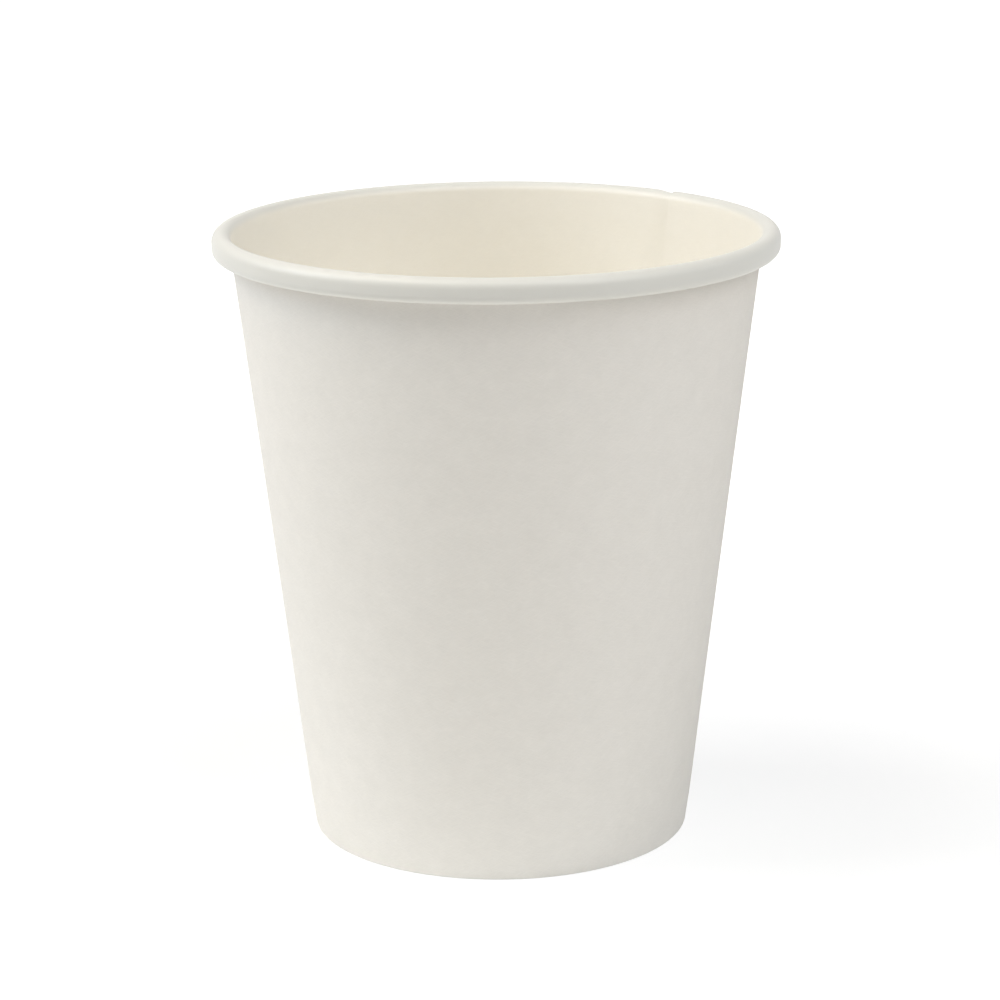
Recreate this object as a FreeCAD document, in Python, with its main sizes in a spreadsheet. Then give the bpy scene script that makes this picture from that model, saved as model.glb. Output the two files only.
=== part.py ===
# Paper coffee cup, small hot-drink size, standing open and empty.
#
# Frame: millimetres, +Z up, origin at the middle of the foot circle, on the
# surface that the cup stands on. The cup's front looks along -Y, and its side
# seam stands at the back right.
#
# A cup of this kind is two pieces of coated board:
#   sidewall  one fan of board rolled into a cone, lapped on itself at the side
#             seam, curled outwards into the rim roll and folded in and up at
#             the foot, where it wraps the skirt of the base
#   base      one disc of board with its edge bent down into a short skirt
#
# The sidewall follows one open line, its inside face seen in section: the raw
# edge of the hem, down into the fold, up the foot band, up the wall, round the
# rim roll and into its tuck. The board's thickness lies on the printed side of
# that line, which is outside the wall and inside the roll.
#
# Seen from above and going anticlockwise from the seam line, the sheet is:
#   the ramp   one layer, sliding in from outside the other flap's edge
#   the round  one layer, against the inside line
#   the lap    two layers, up to the inner flap's free edge at the seam line

import FreeCAD, Part
import enum
import math
import os
import re
import Sketcher

# Driving dimensions: lengths in millimetres, angles in degrees.
DIMENSIONS = {
    "rim_diameter": 73.0,       # over the rim roll
    "cup_height": 80.0,         # from the foot fold to the top of the roll
    "foot_diameter": 49.4,      # over the foot band where it meets the surface
    "foot_lean": 8.3,           # lean of the foot band, pressed in over the hem
    "hem_height": 4.6,          # from the fold to the hem's raw edge
    "board": 0.3,               # sheet that the sidewall is rolled from
    "crease_radius": 0.05,      # inside the fold, pressed almost sharp
    "roll_width": 2.55,         # rim roll, across
    "roll_height": 3.15,        # rim roll, top to bottom
    "curl_gap": 0.05,           # between the tuck and the lapped wall
    "tuck_length": 0.5,         # straight end of the curl, beside the wall
    "lap_angle": 11.0,          # two layers at the side seam
    "ramp_angle": 4.0,          # where the outer flap climbs on the inner one
    "seam_angle": 46.4,         # from +X towards +Y, to the inner flap's edge
    "base_board": 0.28,         # sheet that the base is stamped from
    "base_bend": 0.25,          # inside radius between the panel and its skirt
    "glue_line": 0.03,          # each side of the skirt, inside the hem
    "hem_gap": 0.35,            # from the hem's raw edge to the base's bend
    "skirt_gap": 0.1,           # from the lapped fold to the skirt's raw edge
}

doc = FreeCAD.newDocument("paper_cup")
sizes = doc.addObject("Spreadsheet::Sheet", "sizes")


def fill_sheet():
    """Write each driving dimension beside its name, with the name as alias."""
    for row, (name, value) in enumerate(DIMENSIONS.items(), start=1):
        sizes.set(f"A{row}", name)
        sizes.set(f"B{row}", str(value))
        sizes.setAlias(f"B{row}", name)
    doc.recompute()


def cells(formula):
    """Turn a formula in plain names into an expression on the sheet's cells."""
    def link(word):
        return f"<<sizes>>.{word[0]}" if word[0] in DIMENSIONS else word[0]

    return re.sub("[a-z_]+", link, formula)


def polar(centre, radius, angle):
    """Point of a circle in the sketch plane, angle in radians from +x."""
    return FreeCAD.Vector(centre.x + radius * math.cos(angle), centre.y + radius * math.sin(angle), 0)


def add_line(sketch, start, end):
    return sketch.addGeometry(Part.LineSegment(start, end), False)


def add_arc(sketch, centre, radius, first, last):
    """Arc that runs anticlockwise from the first angle to the last, in radians."""
    circle = Part.Circle(centre, FreeCAD.Vector(0, 0, 1), radius)
    return sketch.addGeometry(Part.ArcOfCircle(circle, first, last), False)


def tie(sketch, *constraint):
    """Add a constraint to a sketch."""
    return sketch.addConstraint(Sketcher.Constraint(*constraint))


def bind(sketch, name, formula, *constraint):
    """Add a dimension to a sketch and bind it to the sheet by a formula."""
    index = tie(sketch, *constraint)
    sketch.renameConstraint(index, name)
    sketch.setExpression(f"Constraints.{name}", cells(formula))


class Point(enum.IntEnum):
    """The point of a line or an arc that a constraint takes hold of."""
    START = 1
    END = 2
    CENTRE = 3


class Axis(enum.IntEnum):
    """The lines that every sketch has, numbered as its geometry is."""
    ACROSS = -1
    UPRIGHT = -2


ORIGIN = (Axis.ACROSS, Point.START)

# Where the inside line of the foot band meets the floor level, from the axis.
INSIDE_FOOT = "foot_diameter / 2 - board / cos(foot_lean)"


# The same in numbers, to start the sketches near their solved places.
LEAN = math.radians(DIMENSIONS["foot_lean"])
FOOT_RADIUS = DIMENSIONS["foot_diameter"] / 2 - DIMENSIONS["board"] / math.cos(LEAN)


def foot_point(height, inwards):
    """Point at a height, a distance inwards from the foot band's inside line."""
    return FreeCAD.Vector(FOOT_RADIUS + height * math.tan(LEAN) - inwards / math.cos(LEAN), height, 0)


def curl():
    """Slope of the wall, and centre and radius of the roll's two arcs.

    The wall runs from the bend above the foot band to touch the upper arc. The
    lower arc touches the roll's side, its lowest level and a line beside the
    wall that leaves room for the two layers of the lap and the gap.
    """
    rim = DIMENSIONS["rim_diameter"] / 2
    top_radius = DIMENSIONS["roll_width"] / 2
    top_centre = FreeCAD.Vector(rim - top_radius, DIMENSIONS["cup_height"] - top_radius, 0)
    bend = foot_point(DIMENSIONS["hem_height"], 0)
    run = top_centre.sub(bend)
    slope = math.atan2(run.x, run.y) - math.asin(top_radius / run.Length)
    under_level = DIMENSIONS["cup_height"] - DIMENSIONS["roll_height"]
    room = (rim - bend.x) * math.cos(slope) - (under_level - bend.y) * math.sin(slope)
    clear = 2 * DIMENSIONS["board"] + DIMENSIONS["curl_gap"]
    under_radius = (room - clear) / (1 + math.cos(slope) + math.sin(slope))
    under_centre = FreeCAD.Vector(rim - under_radius, under_level + under_radius, 0)
    return slope, top_centre, top_radius, under_centre, under_radius


def sheet_line(name, layers):
    """Sketch of the sheet's inside line, with the fold raised on its layers."""
    slope, top_centre, top_radius, under_centre, under_radius = curl()
    crease = DIMENSIONS["crease_radius"]
    slot = DIMENSIONS["base_board"] + 2 * DIMENSIONS["glue_line"]
    level = layers * DIMENSIONS["board"]
    hem_height = DIMENSIONS["hem_height"]

    outer_centre = foot_point(level + crease, crease)
    inner_centre = foot_point(level + crease, slot - crease)
    leg_top = foot_point(hem_height, slot)
    bend = foot_point(hem_height, 0)
    wall_top = polar(top_centre, top_radius, math.pi - slope)
    side_top = polar(top_centre, top_radius, 0)
    side_foot = polar(under_centre, under_radius, 0)
    tuck_start = polar(under_centre, under_radius, math.pi - slope)
    tuck_run = FreeCAD.Vector(math.sin(slope), math.cos(slope), 0) * DIMENSIONS["tuck_length"]

    sketch = doc.addObject("Sketcher::SketchObject", name)
    leg = add_line(sketch, leg_top, polar(inner_centre, crease, math.pi - LEAN))
    inner_crease = add_arc(sketch, inner_centre, crease, math.pi - LEAN, 1.5 * math.pi)
    floor = add_line(sketch, polar(inner_centre, crease, 1.5 * math.pi),
                     polar(outer_centre, crease, 1.5 * math.pi))
    outer_crease = add_arc(sketch, outer_centre, crease, 1.5 * math.pi, 2 * math.pi - LEAN)
    foot = add_line(sketch, polar(outer_centre, crease, -LEAN), bend)
    wall = add_line(sketch, bend, wall_top)
    roll_top = add_arc(sketch, top_centre, top_radius, 0, math.pi - slope)
    side = add_line(sketch, side_top, side_foot)
    roll_under = add_arc(sketch, under_centre, under_radius, math.pi - slope, 2 * math.pi)
    tuck = add_line(sketch, tuck_start, tuck_start + tuck_run)

    # Every joint of the line is smooth, apart from the bend above the foot band.
    for first, first_end, second, second_end in (
        (leg, Point.END, inner_crease, Point.START),
        (inner_crease, Point.END, floor, Point.START),
        (floor, Point.END, outer_crease, Point.START),
        (outer_crease, Point.END, foot, Point.START),
        (wall, Point.END, roll_top, Point.END),
        (roll_top, Point.START, side, Point.START),
        (side, Point.END, roll_under, Point.END),
        (roll_under, Point.START, tuck, Point.START),
    ):
        tie(sketch, "Tangent", first, first_end, second, second_end)
    tie(sketch, "Coincident", foot, Point.END, wall, Point.START)
    tie(sketch, "Horizontal", floor)
    tie(sketch, "Vertical", side)
    tie(sketch, "Parallel", leg, foot)
    tie(sketch, "Parallel", tuck, wall)
    tie(sketch, "Equal", inner_crease, outer_crease)

    # Where the foot band's line, run on downwards, meets the floor level.
    foot_mark = sketch.addGeometry(Part.Point(foot_point(0, 0)), True)
    tie(sketch, "PointOnObject", foot_mark, Point.START, Axis.ACROSS)
    tie(sketch, "PointOnObject", foot_mark, Point.START, foot)
    # Lowest point of the roll.
    under_mark = sketch.addGeometry(Part.Point(polar(under_centre, under_radius, -math.pi / 2)), True)
    tie(sketch, "PointOnObject", under_mark, Point.START, roll_under)
    tie(sketch, "Vertical", under_mark, Point.START, roll_under, Point.CENTRE)

    bind(sketch, "foot_place", INSIDE_FOOT,
         "DistanceX", *ORIGIN, foot_mark, Point.START, FOOT_RADIUS)
    bind(sketch, "foot_slope", "90 - foot_lean",
         "Angle", foot, math.pi / 2 - LEAN)
    bind(sketch, "bend_level", "hem_height",
         "DistanceY", *ORIGIN, foot, Point.END, hem_height)
    bind(sketch, "hem_level", "hem_height",
         "DistanceY", *ORIGIN, leg, Point.START, hem_height)
    bind(sketch, "fold_level", f"{layers} * board",
         "DistanceY", *ORIGIN, floor, Point.START, level)
    bind(sketch, "slot_width", "base_board + 2 * glue_line",
         "Distance", leg, Point.START, foot, slot)
    bind(sketch, "crease_size", "crease_radius",
         "Radius", inner_crease, crease)
    bind(sketch, "roll_size", "roll_width / 2",
         "Radius", roll_top, top_radius)
    bind(sketch, "roll_place", "rim_diameter / 2 - roll_width / 2",
         "DistanceX", *ORIGIN, roll_top, Point.CENTRE, top_centre.x)
    bind(sketch, "roll_level", "cup_height - roll_width / 2",
         "DistanceY", *ORIGIN, roll_top, Point.CENTRE, top_centre.y)
    bind(sketch, "under_level", "cup_height - roll_height",
         "DistanceY", *ORIGIN, under_mark, Point.START, under_centre.y - under_radius)
    bind(sketch, "curl_room", "2 * board + curl_gap",
         "Distance", tuck, Point.START, wall, 2 * DIMENSIONS["board"] + DIMENSIONS["curl_gap"])
    bind(sketch, "tuck_run", "tuck_length",
         "Distance", tuck, Point.START, tuck, Point.END, DIMENSIONS["tuck_length"])
    return sketch


def stand_at(sketch, formula):
    """Stand a sketch upright on the axis, turned from +X towards +Y."""
    sketch.setExpression("Placement.Rotation", cells(
        f"rotation(vector(0; 0; 1); {formula}) * rotation(vector(1; 0; 0); 90)"))


def thicken(name, line, formula, fill):
    """Carry a line over to the printed side, filled into a section or bare."""
    section = doc.addObject("Part::Offset2D", name)
    section.Source = line
    section.Mode = "Skin"
    section.Join = "Intersection"
    section.Fill = fill
    section.setExpression("Value", cells(formula))
    return section


def turn_round(name, section, formula, direction):
    """Turn a section about the cup's axis by an angle, one way or the other."""
    turned = doc.addObject("Part::Revolution", name)
    turned.Source = section
    turned.Axis = FreeCAD.Vector(0, 0, direction)
    turned.Base = FreeCAD.Vector(0, 0, 0)
    turned.Solid = True
    turned.setExpression("Angle", cells(formula))
    return turned


def make_sidewall():
    """The rolled sheet: the round, the lap and the ramp, fused into one solid."""
    single_line = sheet_line("single_line", 1)
    lapped_line = sheet_line("lapped_line", 2)
    stand_at(single_line, "ramp_angle")
    stand_at(lapped_line, "0")

    single_section = thicken("single_section", single_line, "-board", True)
    inner_section = thicken("inner_section", lapped_line, "-board", True)
    outer_line = thicken("outer_line", lapped_line, "-board", False)
    outer_section = thicken("outer_section", outer_line, "-board", True)

    anticlockwise, clockwise = 1, -1
    round_part = turn_round("round_part", single_section, "360 - ramp_angle - lap_angle", anticlockwise)
    inner_flap = turn_round("inner_flap", inner_section, "lap_angle", clockwise)
    outer_flap = turn_round("outer_flap", outer_section, "lap_angle", clockwise)

    ramp_part = doc.addObject("Part::Loft", "ramp_part")
    ramp_part.Sections = [single_section, outer_section]
    ramp_part.Solid = True
    ramp_part.Ruled = True

    sidewall = doc.addObject("Part::MultiFuse", "sidewall")
    sidewall.Shapes = [round_part, ramp_part, inner_flap, outer_flap]
    sidewall.Refine = True
    sidewall.setExpression("Placement.Rotation.Angle", cells("seam_angle"))
    return sidewall


def make_base():
    """The base: a flat panel whose edge bends down into the leaning skirt."""
    sheet = DIMENSIONS["base_board"]
    bend = DIMENSIONS["base_bend"]
    panel_level = DIMENSIONS["hem_height"] + DIMENSIONS["hem_gap"] + bend
    skirt_level = 2 * DIMENSIONS["board"] + DIMENSIONS["skirt_gap"]

    outer_face = DIMENSIONS["glue_line"]
    inner_face = outer_face + sheet
    bend_centre = foot_point(panel_level - bend, inner_face + bend)
    up = math.pi / 2

    base = doc.addObject("PartDesign::Body", "base")
    upright_plane = next(plane for plane in base.Origin.OriginFeatures if plane.Role == "XZ_Plane")
    sketch = base.newObject("Sketcher::SketchObject", "base_section")
    sketch.AttachmentSupport = [(upright_plane, "")]
    sketch.MapMode = "FlatFace"

    axis = add_line(sketch, FreeCAD.Vector(0, panel_level, 0), FreeCAD.Vector(0, panel_level + sheet, 0))
    top = add_line(sketch, FreeCAD.Vector(0, panel_level + sheet, 0), polar(bend_centre, bend + sheet, up))
    outer_bend = add_arc(sketch, bend_centre, bend + sheet, -LEAN, up)
    outer = add_line(sketch, polar(bend_centre, bend + sheet, -LEAN), foot_point(skirt_level, outer_face))
    edge = add_line(sketch, foot_point(skirt_level, outer_face), foot_point(skirt_level, inner_face))
    inner = add_line(sketch, foot_point(skirt_level, inner_face), polar(bend_centre, bend, -LEAN))
    inner_bend = add_arc(sketch, bend_centre, bend, -LEAN, up)
    under = add_line(sketch, polar(bend_centre, bend, up), FreeCAD.Vector(0, panel_level, 0))

    for first, first_end, second, second_end in (
        (top, Point.END, outer_bend, Point.END),
        (outer_bend, Point.START, outer, Point.START),
        (inner, Point.END, inner_bend, Point.START),
        (inner_bend, Point.END, under, Point.START),
    ):
        tie(sketch, "Tangent", first, first_end, second, second_end)
    for first, second in ((axis, top), (outer, edge), (edge, inner), (under, axis)):
        tie(sketch, "Coincident", first, Point.END, second, Point.START)
    tie(sketch, "Coincident", inner_bend, Point.CENTRE, outer_bend, Point.CENTRE)
    tie(sketch, "PointOnObject", axis, Point.START, Axis.UPRIGHT)
    tie(sketch, "Vertical", axis)
    tie(sketch, "Horizontal", top)
    tie(sketch, "Horizontal", edge)
    tie(sketch, "Horizontal", under)
    tie(sketch, "Parallel", inner, outer)

    # Where the skirt's outer face, run on downwards, meets the floor level.
    skirt_mark = sketch.addGeometry(Part.Point(foot_point(0, outer_face)), True)
    tie(sketch, "PointOnObject", skirt_mark, Point.START, Axis.ACROSS)
    tie(sketch, "PointOnObject", skirt_mark, Point.START, outer)

    bind(sketch, "skirt_place", f"{INSIDE_FOOT} - glue_line / cos(foot_lean)",
         "DistanceX", *ORIGIN, skirt_mark, Point.START, foot_point(0, outer_face).x)
    bind(sketch, "skirt_slope", "270 - foot_lean",
         "Angle", outer, 1.5 * math.pi - LEAN)
    bind(sketch, "skirt_level", "2 * board + skirt_gap",
         "DistanceY", *ORIGIN, edge, Point.START, skirt_level)
    bind(sketch, "panel_level", "hem_height + hem_gap + base_bend",
         "DistanceY", *ORIGIN, axis, Point.START, panel_level)
    bind(sketch, "panel_board", "base_board",
         "DistanceY", axis, Point.START, axis, Point.END, sheet)
    bind(sketch, "bend_size", "base_bend",
         "Radius", inner_bend, bend)

    turned = base.newObject("PartDesign::Revolution", "base_turned")
    turned.Profile = sketch
    turned.ReferenceAxis = (sketch, ["V_Axis"])
    turned.Angle = 360
    base.Tip = turned
    return base


def check_document():
    """Stop where the document holds a failed object or a sketch left unsolved."""
    for item in doc.Objects:
        if {"Invalid", "Error"} & set(item.State):
            raise RuntimeError(f"{item.Name} failed: {item.State}")
        if item.isDerivedFrom("Sketcher::SketchObject") and item.solve() != 0:
            raise RuntimeError(f"{item.Name} isn't solved")


def write_parts(parts):
    """Check each finished piece and write it under its label."""
    os.makedirs("parts", exist_ok=True)
    for part in parts:
        shape = part.Shape
        if shape.isNull() or not shape.isValid() or len(shape.Solids) != 1:
            raise RuntimeError(f"{part.Label} is not one valid solid")
    for part in parts:
        part.Shape.exportStep(f"parts/{part.Label}.step")
        print(part.Label, "volume", round(part.Shape.Volume, 2), "mm3")


fill_sheet()
pieces = [make_sidewall(), make_base()]
doc.recompute()
check_document()
write_parts(pieces)
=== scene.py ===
"""Small paper coffee cup, empty, standing on a pale studio floor.

Two boards make the cup. The sidewall is one sheet, lapped on itself at the
side seam, curled out into the rim roll and folded in and up at the foot. The
base is a disc with its edge bent down into a skirt, held inside that fold.
"""
import math

import bpy
import numpy as np
from mathutils import Matrix, Vector


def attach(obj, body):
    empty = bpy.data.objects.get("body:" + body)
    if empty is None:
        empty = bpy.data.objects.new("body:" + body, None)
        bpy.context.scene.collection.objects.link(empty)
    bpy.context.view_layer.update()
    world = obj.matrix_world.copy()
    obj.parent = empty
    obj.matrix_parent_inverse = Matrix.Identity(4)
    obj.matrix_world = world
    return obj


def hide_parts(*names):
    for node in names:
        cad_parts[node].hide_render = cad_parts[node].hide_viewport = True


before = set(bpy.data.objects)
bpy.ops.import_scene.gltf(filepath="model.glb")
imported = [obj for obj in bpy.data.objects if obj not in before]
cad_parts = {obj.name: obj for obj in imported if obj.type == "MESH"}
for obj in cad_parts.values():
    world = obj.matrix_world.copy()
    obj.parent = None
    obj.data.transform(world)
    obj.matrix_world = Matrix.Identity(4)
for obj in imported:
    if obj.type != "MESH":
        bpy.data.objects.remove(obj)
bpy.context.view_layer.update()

MM = 0.001

# The cup's own sizes, in metres and radians.
RIM_RADIUS = 36.5 * MM
CUP_HEIGHT = 80.0 * MM
FOOT_DIAMETER = 49.4 * MM
FOOT_LEAN = math.radians(8.3)
HEM_HEIGHT = 4.6 * MM
BOARD = 0.3 * MM
CREASE_RADIUS = 0.05 * MM
ROLL_WIDTH = 2.55 * MM
ROLL_HEIGHT = 3.15 * MM
CURL_GAP = 0.05 * MM
TUCK_LENGTH = 0.5 * MM
LAP_ANGLE = math.radians(11.0)
SEAM_ANGLE = math.radians(46.4)
BASE_BOARD = 0.28 * MM
BASE_BEND = 0.25 * MM
GLUE_LINE = 0.03 * MM
HEM_GAP = 0.35 * MM
SKIRT_GAP = 0.1 * MM

# How the real boards depart from the drawing.
RAMP_ANGLE = math.radians(5.5)  # the wall eases off the lap a little slower than drawn
LAP_BOND = 0.004 * MM           # film of coating between the two layers of the lap
FOLD_CLIMB = math.radians(5.0)  # over which the inner flap's fold climbs on the outer's
PANEL_SAG = 0.25 * MM           # the base panel hangs a little in its middle
SAG_RATE = 1.2                  # above 1, so the sag is whole a little before the middle
WALL_WAVE = 0.03 * MM           # the rolled wall is never quite round
WAVE_EDGE = 12.0 * MM           # over which the wave runs out at the foot band and the roll
WAVES = ((1.0, 2, 0.0, 0.6), (0.6, 5, 40.0, 2.1), (0.4, 9, -70.0, 4.0))
KNURLS = 120                    # upright grooves that the hem wheel presses in
KNURL_DEPTH = 0.05 * MM
KNURL_LOW = 0.6 * MM            # the grooves lie between these two levels
KNURL_HIGH = HEM_HEIGHT - 0.3 * MM
KNURL_EDGE = 0.5 * MM           # over which a groove runs out

# How finely the surfaces are divided.
LEG_STEPS = 9                   # down the hem's leg
PANEL_STEPS = 30                # from the base's middle out to its bend
BEND_STEPS = 8                  # round the base's bend
SKIRT_STEPS = 6                 # down the base's skirt
BASE_COLUMNS = 240              # round the base
HUB_RADIUS = 0.5 * MM           # of the two fans that close the base's middle
SHARP_ANGLE = math.radians(40)  # edges that turn more than this stay crisp

# The pulp of the boards, seen close.
FIBRE_SCALE = 5200.0            # noise waves a metre
CLOUD_SCALE = 320.0
TOOTH_SCALE = 9000.0
FIBRE_STRETCH = 7.0             # a fibre's length over its width
FIBRE_TURN = math.radians(25)   # to either side of the grain
TONE_RANGE = (0.35, 0.7)        # over which the grain's tone changes the tint
ROLL_PAINT_EASE = 1.0 * MM            # over which the painted shade and painted light on the rim roll ease in

# The floor. Reaches are distances in metres, and glows the strengths at their two ends.
SEEN_GREY = 0.3
SEEN_REACH = (0.05, 0.2)
SEEN_GLOW = (0.76, 1.0)
TABLE_GREY = 0.95
TABLE_MIDDLE = (-0.03, -0.01, 0.0)
TABLE_REACH = (0.02, 0.08)
TABLE_GLOW = (0.16, 0.0)
TABLE_TINT = (0.85, 0.95, 1.0)

AXIS_FOOT = (0.0, 0.0, 0.0)
WHITE = (1.0, 1.0, 1.0)
PRINTED, COATED, CUT = 0, 1, 2  # which face of the board a face of the mesh is


def ease(x):
    """Ease from 0 to 1 as x goes from 0 to 1, flat at both ends."""
    x = np.clip(x, 0.0, 1.0)
    return x * x * (3.0 - 2.0 * x)


def hump(x, low, high, edge):
    """1 between low and high and 0 outside them, eased over an edge on each side."""
    return ease((x - low) / edge) * ease((high - x) / edge)


# Sections: a place is (radius, height), and a line is its places and their normals

def foot_point(height, inwards):
    """Place at a level, a distance inwards from the foot band's inside line."""
    foot_radius = FOOT_DIAMETER / 2 - BOARD / math.cos(FOOT_LEAN)
    radius = foot_radius + height * math.tan(FOOT_LEAN) - inwards / math.cos(FOOT_LEAN)
    return np.array([radius, height])


def curl():
    """Slope of the wall, and centre and radius of the rim roll's two arcs.

    The wall runs from the bend above the foot band and touches the upper arc.
    The lower arc touches the roll's side, its lowest level, and a line that
    leaves room beside the wall for the two layers of the lap.
    """
    top_radius = ROLL_WIDTH / 2
    top = np.array([RIM_RADIUS - top_radius, CUP_HEIGHT - top_radius])
    bend = foot_point(HEM_HEIGHT, 0.0)
    run = top - bend
    slope = math.atan2(run[0], run[1]) - math.asin(top_radius / math.hypot(*run))
    under_level = CUP_HEIGHT - ROLL_HEIGHT
    room = (RIM_RADIUS - bend[0]) * math.cos(slope) - (under_level - bend[1]) * math.sin(slope)
    under_radius = (room - 2 * BOARD - CURL_GAP) / (1 + math.cos(slope) + math.sin(slope))
    under = np.array([RIM_RADIUS - under_radius, under_level + under_radius])
    return slope, top, top_radius, under, under_radius


def straight(start, end, steps, away):
    """Places from start to end, with one normal for all of them."""
    share = np.linspace(0.0, 1.0, steps + 1)[:, None]
    return start + (end - start) * share, np.tile(away, (steps + 1, 1))


def arc(centre, radius, first, last, steps, inwards=False):
    """Places of a circle from one angle to another, with normals out or in."""
    angle = np.linspace(first, last, steps + 1)
    ray = np.stack([np.cos(angle), np.sin(angle)], axis=1)
    return centre + radius * ray, -ray if inwards else ray


def join(pieces):
    """One line from pieces that each start where the last one ends."""
    places = [pieces[0][0]] + [points[1:] for points, _ in pieces[1:]]
    normals = [pieces[0][1]] + [away[1:] for _, away in pieces[1:]]
    return np.concatenate(places), np.concatenate(normals)


def way_along(places):
    """Distance along a line from its start to each of its places."""
    return np.concatenate([[0.0], np.cumsum(np.hypot(*np.diff(places, axis=0).T))])


def sheet_line(level):
    """Inside face of the sheet in section, and the way to its printed face.

    The line goes from the raw edge of the hem down its leg, through the fold
    at the given level, up the foot band and the wall, round the upper and the
    lower arc of the rim roll, and along its tuck. The normals point away from
    the drink on the wall, and so into the roll.
    """
    slope, top, top_radius, under, under_radius = curl()
    slot = BASE_BOARD + 2 * GLUE_LINE
    inner = foot_point(level + CREASE_RADIUS, slot - CREASE_RADIUS)
    outer = foot_point(level + CREASE_RADIUS, CREASE_RADIUS)
    lean_out = np.array([math.cos(FOOT_LEAN), -math.sin(FOOT_LEAN)])
    wall_out = np.array([math.cos(slope), -math.sin(slope)])
    wall_up = np.array([math.sin(slope), math.cos(slope)])
    down = np.array([0.0, -1.0])
    across = np.array([1.0, 0.0])
    bend = foot_point(HEM_HEIGHT, 0.0)
    tuck = under - under_radius * wall_out
    quarter = math.pi / 2
    return join((
        straight(foot_point(HEM_HEIGHT, slot), inner - CREASE_RADIUS * lean_out, LEG_STEPS, -lean_out),
        arc(inner, CREASE_RADIUS, math.pi - FOOT_LEAN, 3 * quarter, 4),
        straight(inner + CREASE_RADIUS * down, outer + CREASE_RADIUS * down, 1, down),
        arc(outer, CREASE_RADIUS, -quarter, -FOOT_LEAN, 4),
        straight(outer + CREASE_RADIUS * lean_out, bend, 4, lean_out),
        straight(bend, top - top_radius * wall_out, 16, wall_out),
        arc(top, top_radius, math.pi - slope, 0.0, 16, True),
        straight(top + top_radius * across, under + under_radius * across, 1, -across),
        arc(under, under_radius, 0.0, -math.pi - slope, 14, True),
        straight(tuck, tuck + TUCK_LENGTH * wall_up, 2, wall_out),
    ))


# Meshes

def build_mesh(name, verts, patches):
    """Mesh object from points and patches of (faces, corner UVs, kinds of face)."""
    mesh = bpy.data.meshes.new(name)
    sides = np.concatenate([np.full(len(faces), faces.shape[1]) for faces, _, _ in patches])
    corners = np.concatenate([faces.ravel() for faces, _, _ in patches])
    uvs = np.concatenate([uv.reshape(-1, 2) for _, uv, _ in patches])
    kinds = np.concatenate([np.broadcast_to(kind, len(faces)) for faces, _, kind in patches])
    mesh.vertices.add(len(verts))
    mesh.vertices.foreach_set("co", verts.astype(np.float32).ravel())
    mesh.loops.add(len(corners))
    mesh.loops.foreach_set("vertex_index", corners.astype(np.int32))
    mesh.polygons.add(len(sides))
    mesh.polygons.foreach_set("loop_start", (np.cumsum(sides) - sides).astype(np.int32))
    mesh.polygons.foreach_set("material_index", kinds.astype(np.int32))
    mesh.uv_layers.new(name="blank").uv.foreach_set("vector", uvs.astype(np.float32).ravel())
    mesh.update(calc_edges=True)
    mesh.polygons.foreach_set("use_smooth", np.ones(len(sides), dtype=bool))
    mesh.set_sharp_from_angle(angle=SHARP_ANGLE)
    item = bpy.data.objects.new(name, mesh)
    bpy.context.scene.collection.objects.link(item)
    return item


def between(grid, axis):
    """The four corners of each cell of a grid that closes on itself along an axis."""
    after = np.roll(grid, -1, axis=axis)
    if axis == 0:
        return np.stack([grid[:, :-1], after[:, :-1], after[:, 1:], grid[:, 1:]], axis=2)
    return np.stack([grid[:-1], after[:-1], after[1:], grid[1:]], axis=2)


def sheet_angles():
    """Angles round the sheet, from the outer flap's free edge to the inner's."""
    whole = 2 * math.pi
    inner_flap = whole - LAP_ANGLE
    stops = (-LAP_ANGLE, 0.0, RAMP_ANGLE, inner_flap - FOLD_CLIMB, inner_flap, whole)
    counts = (15, 16, 543, 9, 15)  # over outer flap, ramp, single sheet, climb and inner flap
    runs = [np.linspace(start, end, count + 1)[1:]
            for start, end, count in zip(stops, stops[1:], counts)]
    return np.concatenate([[stops[0]]] + runs)


def wall_wave(angle, height):
    """Slow unevenness of the rolled wall, none at its ends: a sum of sine waves.

    Each wave has its share, its count round the cup, the radians that it turns
    by in a metre of height, and its start.
    """
    waves = sum(share * np.sin(count * angle + twist * height + start)
                for share, count, twist, start in WAVES)
    return WALL_WAVE * waves * hump(height, HEM_HEIGHT, CUP_HEIGHT - ROLL_HEIGHT, WAVE_EDGE)


def knurl(angle, height):
    """Grooves of the hem wheel: a cosine round the leg, none near its two ends."""
    grooves = 0.5 - 0.5 * np.cos(KNURLS * angle)
    return KNURL_DEPTH * grooves * hump(height, KNURL_LOW, KNURL_HIGH, KNURL_EDGE)


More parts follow.
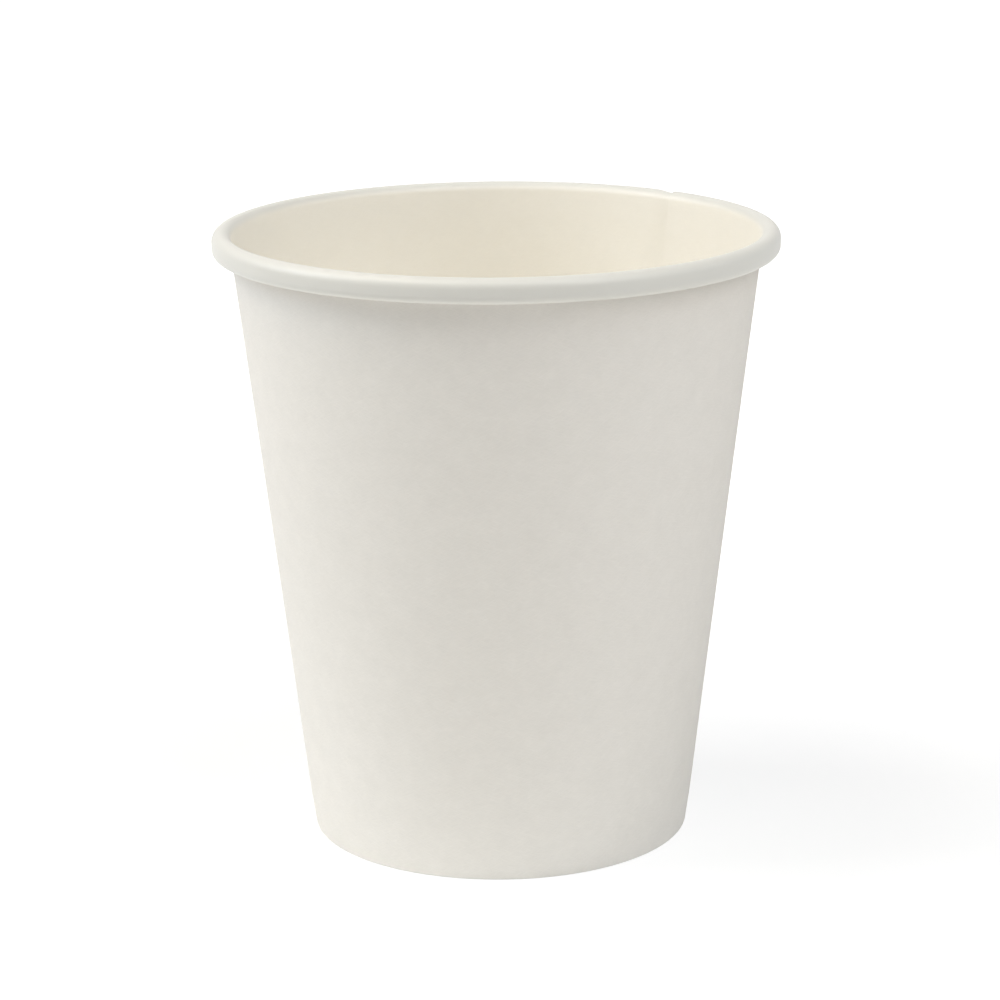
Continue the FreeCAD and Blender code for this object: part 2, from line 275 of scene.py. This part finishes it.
def make_sidewall():
    """The rolled sheet, one closed surface over the angle and the way along its line.

    Each point is the sheet's line carried along its normal by the layer's
    offset, plus none or all of the board. The offset is one board in the outer
    flap and eases to none over the ramp. The fold lies one board up, and two
    boards up in the lap, where the outer flap wraps under the inner one.
    """
    angle = sheet_angles()
    offset = (BOARD + LAP_BOND) * (1.0 - ease(angle / RAMP_ANGLE))
    climb = ease((angle - 2 * math.pi + LAP_ANGLE + FOLD_CLIMB) / FOLD_CLIMB)
    raised = (offset / BOARD + climb)[:, None, None]
    flat_line, away = sheet_line(BOARD)
    raised_line, _ = sheet_line(2 * BOARD)
    line = flat_line + (raised_line - flat_line) * raised

    on_leg = np.arange(len(away)) <= LEG_STEPS
    press = knurl(angle[:, None], line[..., 1]) * on_leg
    shift = offset[:, None] - press + wall_wave(angle[:, None], line[..., 1])
    coated = line + away * shift[..., None]
    printed = line + away * (shift + BOARD)[..., None]
    ring = np.concatenate([coated, printed[:, ::-1]], axis=1)
    radius, level = ring[..., 0], ring[..., 1]
    turn = (angle + SEAM_ANGLE)[:, None]
    verts = np.stack([radius * np.cos(turn), radius * np.sin(turn), level], axis=2)

    # The UVs are the sheet laid flat again, as the fan that it was cut as.
    slope = curl()[0]
    way = way_along(flat_line)
    bend = int(np.argmin(np.hypot(*(flat_line - foot_point(HEM_HEIGHT, 0.0)).T)))
    reach = flat_line[bend, 0] / math.sin(slope) + way - way[bend]
    reach = np.concatenate([reach, reach[::-1]])[None, :]
    fan = ((angle - math.pi) * math.sin(slope))[:, None]
    blank = np.stack([reach * np.sin(fan), reach * np.cos(fan)], axis=2)

    index = np.arange(level.size).reshape(level.shape)
    half = len(away)
    kinds = np.concatenate([np.full(half - 1, COATED), [CUT], np.full(half - 1, PRINTED), [CUT]])
    cells = between(index, 1).reshape(-1, 4)
    patches = [(cells, between(blank, 1), np.tile(kinds, len(angle) - 1))]

    # The two free edges at the side seam, each closed by one strip.
    for column, order in ((0, 1), (-1, -1)):
        inside, outside = index[column, :half], index[column, ::-1][:half]
        strip = np.stack([inside[:-1], outside[:-1], outside[1:], inside[1:]], axis=1)[:, ::order]
        flat = blank[column, :half]
        raw = flat + [BOARD, 0.0]
        strip_uv = np.stack([flat[:-1], raw[:-1], raw[1:], flat[1:]], axis=1)[:, ::order]
        patches.append((strip, strip_uv, CUT))
    return build_mesh("sidewall_sheet", verts.reshape(-1, 3), patches)


def make_base():
    """The stamped base: a line of panel, bend and skirt turned about the axis.

    The line runs from the middle of the panel's top, over the bend, down the
    skirt, round its raw edge, up inside and back below the panel. The panel
    sags by an eased share of the way to its middle.
    """
    panel_level = HEM_HEIGHT + HEM_GAP + BASE_BEND
    skirt_level = 2 * BOARD + SKIRT_GAP
    inner_face = GLUE_LINE + BASE_BOARD
    centre = foot_point(panel_level - BASE_BEND, inner_face + BASE_BEND)
    top_face = np.array([HUB_RADIUS, panel_level + BASE_BOARD])
    under_face = np.array([HUB_RADIUS, panel_level])
    quarter = math.pi / 2
    outer_bend, _ = arc(centre, BASE_BEND + BASE_BOARD, quarter, -FOOT_LEAN, BEND_STEPS)
    inner_bend, _ = arc(centre, BASE_BEND, -FOOT_LEAN, quarter, BEND_STEPS)
    line = np.concatenate([
        np.linspace(top_face, outer_bend[0], PANEL_STEPS + 1)[:-1],
        outer_bend,
        np.linspace(outer_bend[-1], foot_point(skirt_level, GLUE_LINE), SKIRT_STEPS + 1)[1:],
        np.linspace(foot_point(skirt_level, inner_face), inner_bend[0], SKIRT_STEPS + 1)[:-1],
        inner_bend,
        np.linspace(inner_bend[-1], under_face, PANEL_STEPS + 1)[1:],
    ])
    way = way_along(line)
    raw_edge = PANEL_STEPS + BEND_STEPS + SKIRT_STEPS
    out = np.where(np.arange(len(line)) <= raw_edge, way, way[-1] - way) + HUB_RADIUS
    sag = PANEL_SAG * ease(SAG_RATE * (1.0 - line[:, 0] / centre[0]))
    line[:, 1] -= np.where(line[:, 1] > panel_level - BASE_BEND / 2, sag, 0.0)

    turn = np.linspace(0.0, 2 * math.pi, BASE_COLUMNS, endpoint=False)[:, None]
    level = np.broadcast_to(line[:, 1], (len(turn), len(line)))
    verts = np.stack([line[:, 0] * np.cos(turn), line[:, 0] * np.sin(turn), level], axis=2)
    index = np.arange(level.size).reshape(level.shape)
    blank = np.stack([out * np.cos(turn), out * np.sin(turn)], axis=2)
    kinds = np.full(len(line) - 1, COATED)
    kinds[raw_edge] = CUT
    kinds[raw_edge + 1:] = PRINTED
    cells = between(index, 0).reshape(-1, 4)[:, ::-1]
    patches = [(cells, between(blank, 0)[:, :, ::-1], np.tile(kinds, len(turn)))]

    # A fan of triangles closes the middle of the panel above and below.
    centres = np.array([[0.0, 0.0, line[0, 1]], [0.0, 0.0, line[-1, 1]]])
    for row, pole, kind, order in ((0, level.size, COATED, 1), (-1, level.size + 1, PRINTED, -1)):
        rim = index[:, row]
        fan = np.stack([np.full(len(rim), pole), rim, np.roll(rim, -1)], axis=1)[:, ::order]
        flat = blank[:, row]
        fan_uv = np.stack([np.zeros_like(flat), flat, np.roll(flat, -1, axis=0)], axis=1)[:, ::order]
        patches.append((fan, fan_uv, kind))
    return build_mesh("base_disc", np.concatenate([verts.reshape(-1, 3), centres]), patches)


# Materials

def noise(tree, vector, scale, detail, roughness=0.55):
    """Noise texture on a vector, with its scale in waves a metre."""
    node = tree.nodes.new("ShaderNodeTexNoise")
    node.inputs["Scale"].default_value = scale
    node.inputs["Detail"].default_value = detail
    node.inputs["Roughness"].default_value = roughness
    tree.links.new(vector, node.inputs["Vector"])
    return node.outputs["Fac"]


def stretched(tree, vector, angle, along, across):
    """Turn a flat pattern and stretch it, for fibres that lie mostly one way."""
    node = tree.nodes.new("ShaderNodeMapping")
    node.vector_type = "TEXTURE"
    node.inputs["Rotation"].default_value = (0.0, 0.0, angle)
    node.inputs["Scale"].default_value = (along, across, 1.0)
    tree.links.new(vector, node.inputs["Vector"])
    return node.outputs["Vector"]


def arithmetic(tree, operation, first, second):
    """Math node on two values, each a number or a socket."""
    node = tree.nodes.new("ShaderNodeMath")
    node.operation = operation
    for socket, value in zip(node.inputs, (first, second)):
        if isinstance(value, bpy.types.NodeSocket):
            tree.links.new(value, socket)
        else:
            socket.default_value = value
    return node.outputs["Value"]


def weighted(tree, first, first_share, second, second_share):
    """Sum of a share of one value and a share of another."""
    return arithmetic(tree, "ADD", arithmetic(tree, "MULTIPLY", first, first_share),
                      arithmetic(tree, "MULTIPLY", second, second_share))


def remap(tree, value, source=(0.0, 1.0), target=(0.0, 1.0), course="LINEAR"):
    """Turn a value's run over the source range into a run over the target range."""
    node = tree.nodes.new("ShaderNodeMapRange")
    node.interpolation_type = course
    for name, number in zip(("From Min", "From Max", "To Min", "To Max"), (*source, *target)):
        node.inputs[name].default_value = number
    tree.links.new(value, node.inputs["Value"])
    return node.outputs["Result"]


def mixed_colour(tree, factor, first, second):
    """Mix of a colour or socket with a second colour, by a factor."""
    node = tree.nodes.new("ShaderNodeMix")
    node.data_type = "RGBA"
    if isinstance(first, bpy.types.NodeSocket):
        tree.links.new(first, node.inputs["A"])
    else:
        node.inputs["A"].default_value = (*first, 1.0)
    node.inputs["B"].default_value = (*second, 1.0)
    tree.links.new(factor, node.inputs["Factor"])
    return node.outputs["Result"]


def board_grain_group():
    """Pulp board seen close: fibres, cloudy formation and fine tooth.

    Fibres are two noises stretched seven to one and crossed at 50 degrees, and
    clouds are a slow noise of a few millimetres, as board shows against light.
    """
    group = bpy.data.node_groups.new("board grain", "ShaderNodeTree")
    face = group.interface
    face.new_socket(name="Coordinates", in_out="INPUT", socket_type="NodeSocketVector")
    face.new_socket(name="Grain angle", in_out="INPUT", socket_type="NodeSocketFloat")
    face.new_socket(name="Tone", in_out="OUTPUT", socket_type="NodeSocketFloat")
    face.new_socket(name="Height", in_out="OUTPUT", socket_type="NodeSocketFloat")
    inputs = group.nodes.new("NodeGroupInput")
    outputs = group.nodes.new("NodeGroupOutput")
    turn = group.nodes.new("ShaderNodeVectorRotate")
    turn.rotation_type = "Z_AXIS"
    group.links.new(inputs.outputs["Coordinates"], turn.inputs["Vector"])
    group.links.new(inputs.outputs["Grain angle"], turn.inputs["Angle"])
    flat = turn.outputs["Vector"]
    fibres = [noise(group, stretched(group, flat, way, FIBRE_STRETCH, 1.0), FIBRE_SCALE, 3.0)
              for way in (-FIBRE_TURN, FIBRE_TURN)]
    crossed = arithmetic(group, "MAXIMUM", *fibres)
    clouds = noise(group, flat, CLOUD_SCALE, 2.0, 0.6)
    tooth = noise(group, flat, TOOTH_SCALE, 2.0)
    group.links.new(weighted(group, clouds, 0.3, crossed, 0.7), outputs.inputs["Tone"])
    group.links.new(weighted(group, crossed, 0.7, tooth, 0.3), outputs.inputs["Height"])
    return group


def board_material(name, grain, thin, thick, roughness, relief, grain_angle):
    """Board: its tint runs between two colours with the grain, which also roughens it."""
    material = bpy.data.materials.new(name)
    material.use_nodes = True
    tree = material.node_tree
    tree.nodes.clear()
    output = tree.nodes.new("ShaderNodeOutputMaterial")
    shader = tree.nodes.new("ShaderNodeBsdfPrincipled")
    tree.links.new(shader.outputs["BSDF"], output.inputs["Surface"])

    place = tree.nodes.new("ShaderNodeUVMap")
    place.uv_map = "blank"
    pulp = tree.nodes.new("ShaderNodeGroup")
    pulp.node_tree = grain
    pulp.inputs["Grain angle"].default_value = grain_angle
    tree.links.new(place.outputs["UV"], pulp.inputs["Coordinates"])
    tone, height = pulp.outputs["Tone"], pulp.outputs["Height"]

    tint = mixed_colour(tree, remap(tree, tone, TONE_RANGE), thin, thick)
    tree.links.new(tint, shader.inputs["Base Color"])
    tree.links.new(remap(tree, height, target=roughness), shader.inputs["Roughness"])
    bump = tree.nodes.new("ShaderNodeBump")
    bump.inputs["Strength"].default_value = 1.0
    bump.inputs["Distance"].default_value = relief
    tree.links.new(height, bump.inputs["Height"])
    tree.links.new(bump.outputs["Normal"], shader.inputs["Normal"])
    return material, shader


def paint_shade_on_roll(material, shader, upper_painted_shade, lower_painted_light):
    """Paint shade over the rim roll on a coated board: darker from the upper arc on, and less dark
    from the lower arc on, as painted light from the floor.

    The board's UVs are places on the flat fan, so the distance from the fan's
    apex tells the wall from the roll's upper arc, and that from its lower arc.
    Each change eases over the first millimetre of the arc.
    """
    slope, top, top_radius, under, _ = curl()
    upper_start = (top[0] - top_radius * math.cos(slope)) / math.sin(slope)
    lower_start = upper_start + top_radius * (math.pi - slope) + top[1] - under[1]
    tree = material.node_tree
    place = next(node for node in tree.nodes if node.type == "UVMAP")
    base_colour = shader.inputs["Base Color"]
    reach = tree.nodes.new("ShaderNodeVectorMath")
    reach.operation = "LENGTH"
    tree.links.new(place.outputs["UV"], reach.inputs[0])
    for start, colour in ((upper_start, upper_painted_shade), (lower_start, lower_painted_light)):
        painted_share = remap(tree, reach.outputs["Value"], (start, start + ROLL_PAINT_EASE), course="SMOOTHSTEP")
        tint = mixed_colour(tree, painted_share, base_colour.links[0].from_socket, colour)
        tree.links.new(tint, base_colour)


def make_board_materials():
    """The three faces of cup board: bare white print side, coated side, cut edge."""
    grain = board_grain_group()
    printed, shader = board_material(
        "white_board_outside", grain, thin=(0.787, 0.761, 0.713), thick=(0.847, 0.819, 0.769),
        roughness=(0.68, 0.84), relief=0.025 * MM, grain_angle=0.0)
    shader.inputs["Specular IOR Level"].default_value = 0.25
    coated, shader = board_material(
        "coated_board_inside", grain, thin=(0.902, 0.866, 0.78), thick=(0.938, 0.902, 0.818),
        roughness=(0.4, 0.54), relief=0.01 * MM, grain_angle=0.0)
    shader.inputs["Coat Weight"].default_value = 0.2
    shader.inputs["Coat Roughness"].default_value = 0.35
    # painted shade over the rim roll's upper arc, and a lighter tint of painted floor light from its
    # lower arc on
    paint_shade_on_roll(coated, shader, (0.688, 0.679, 0.633), (0.785, 0.774, 0.72))
    cut, shader = board_material(
        "cut_edge_of_board", grain, thin=(0.84, 0.825, 0.79), thick=(0.9, 0.89, 0.86),
        roughness=(0.85, 0.95), relief=0.03 * MM, grain_angle=0.8)
    shader.inputs["Specular IOR Level"].default_value = 0.2
    return printed, coated, cut


# Studio

def only_seen(tree, seen, unseen):
    """Pick one shader for what is seen, straight or in a gloss, and one for every other ray."""
    ray = tree.nodes.new("ShaderNodeLightPath").outputs
    mirrored = arithmetic(tree, "MAXIMUM", ray["Is Glossy Ray"], ray["Is Transmission Ray"])
    shown = arithmetic(tree, "MAXIMUM", ray["Is Camera Ray"], mirrored)
    mix = tree.nodes.new("ShaderNodeMixShader")
    tree.links.new(shown, mix.inputs["Fac"])
    tree.links.new(unseen, mix.inputs[1])
    tree.links.new(seen, mix.inputs[2])
    return mix.outputs["Shader"]


def glowing_grey(tree, grey, tint, middle, reach, glow_range):
    """Diffuse grey with a tinted glow, whose strength changes with the distance from a middle."""
    grey_face = tree.nodes.new("ShaderNodeBsdfDiffuse")
    grey_face.inputs["Color"].default_value = (grey, grey, grey, 1.0)
    place = tree.nodes.new("ShaderNodeTexCoord")
    distance = tree.nodes.new("ShaderNodeVectorMath")
    distance.operation = "DISTANCE"
    distance.inputs[1].default_value = middle
    tree.links.new(place.outputs["Object"], distance.inputs[0])
    strength = remap(tree, distance.outputs["Value"], reach, glow_range)
    glow = tree.nodes.new("ShaderNodeEmission")
    glow.inputs["Color"].default_value = (*tint, 1.0)
    tree.links.new(strength, glow.inputs["Strength"])
    both = tree.nodes.new("ShaderNodeAddShader")
    tree.links.new(grey_face.outputs["BSDF"], both.inputs[0])
    tree.links.new(glow.outputs["Emission"], both.inputs[1])
    return both.outputs["Shader"]


def make_floor(half_side=3.0):
    """Pale floor that keeps the cup's shadow and goes to plain white away from it.

    To the rays that light the cup it is a pale table, which glows faintly left
    of the cup and so lights the foot most.
    """
    mesh = bpy.data.meshes.new("studio_floor")
    corners = [(-half_side, -half_side, 0), (half_side, -half_side, 0),
               (half_side, half_side, 0), (-half_side, half_side, 0)]
    mesh.from_pydata(corners, [], [(0, 1, 2, 3)])
    floor = bpy.data.objects.new("studio_floor", mesh)
    bpy.context.scene.collection.objects.link(floor)
    material = bpy.data.materials.new("pale_floor")
    material.use_nodes = True
    tree = material.node_tree
    tree.nodes.clear()
    output = tree.nodes.new("ShaderNodeOutputMaterial")
    seen = glowing_grey(tree, SEEN_GREY, WHITE, AXIS_FOOT, SEEN_REACH, SEEN_GLOW)
    table = glowing_grey(tree, TABLE_GREY, TABLE_TINT, TABLE_MIDDLE, TABLE_REACH, TABLE_GLOW)
    tree.links.new(only_seen(tree, seen, table), output.inputs["Surface"])
    mesh.materials.append(material)
    return floor


def make_world():
    """White where it is seen, and dark to the rays that light the cup."""
    world = bpy.data.worlds.new("studio")
    world.use_nodes = True
    tree = world.node_tree
    tree.nodes.clear()
    output = tree.nodes.new("ShaderNodeOutputWorld")
    white = tree.nodes.new("ShaderNodeBackground")
    dark = tree.nodes.new("ShaderNodeBackground")
    for background, strength in ((white, 1.0), (dark, 0.0)):
        background.inputs["Color"].default_value = (*WHITE, 1.0)
        background.inputs["Strength"].default_value = strength
    result = only_seen(tree, white.outputs["Background"], dark.outputs["Background"])
    tree.links.new(result, output.inputs["Surface"])
    bpy.context.scene.world = world


def soft_box(name, azimuth, elevation, power, tint, size=0.5, distance=0.9):
    """Square area light that faces the cup's middle.

    Its azimuth is in degrees from the camera to the right, its elevation in
    degrees, and its power in watts.
    """
    turn, rise = math.radians(azimuth), math.radians(elevation)
    middle = Vector((0.0, 0.0, CUP_HEIGHT / 2))
    way = Vector((math.cos(rise) * math.sin(turn), -math.cos(rise) * math.cos(turn), math.sin(rise)))
    light = bpy.data.lights.new(name, "AREA")
    light.shape = "SQUARE"
    light.size = size
    light.energy = power
    light.color = tint
    lamp = bpy.data.objects.new(name, light)
    bpy.context.scene.collection.objects.link(lamp)
    lamp.location = middle + way * distance
    lamp.rotation_euler = (-way).to_track_quat("-Z", "Y").to_euler()


def make_camera(aim, distance, elevation, roll, lens):
    """Camera in front of the cup, raised by its elevation and rolled a little."""
    back = Vector((0.0, -math.cos(elevation), math.sin(elevation)))
    up = Vector((0.0, math.sin(elevation), math.cos(elevation)))
    level = Vector((1.0, 0.0, 0.0))
    right = math.cos(roll) * level + math.sin(roll) * up
    above = math.cos(roll) * up - math.sin(roll) * level
    data = bpy.data.cameras.new("photo_camera")
    data.sensor_width = 36.0
    data.lens = lens
    data.clip_start = 0.01
    camera = bpy.data.objects.new("photo_camera", data)
    bpy.context.scene.collection.objects.link(camera)
    turn = Matrix((right, above, back)).transposed().to_4x4()
    camera.matrix_world = Matrix.Translation(Vector(aim) + back * distance) @ turn
    bpy.context.scene.camera = camera


# The cup

board_faces = make_board_materials()
for piece, node, slot in (
    (make_sidewall(), "sidewall", "wall_board"),
    (make_base(), "base", "base_board"),
):
    for material in board_faces:
        piece.data.materials.append(material)
    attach(piece, "root")
    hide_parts(node)

# The studio

make_floor()
make_world()
for lamp in (
    ("left_box", 270, 34, 4.1, (0.85, 0.92, 1.0)),
    ("left_high_box", 270, 60, 2.7, (1.0, 0.86, 0.7)),
    ("front_high_box", 315, 60, 1.78, (1.0, 0.97, 0.86)),
    ("right_high_box", 45, 60, 2.3, (0.88, 0.95, 1.0)),
    ("right_front_box", 45, 35, 2.0, (1.0, 0.97, 0.96)),
    ("right_box", 90, 35, 1.03, (1.0, 1.0, 1.0)),
):
    soft_box(*lamp)
make_camera(aim=(0.21 * MM, 0.0, 43.57 * MM), distance=437.0 * MM,
            elevation=math.radians(14.73), roll=math.radians(-0.474), lens=119.9)
bpy.context.scene.view_settings.view_transform = "Standard"
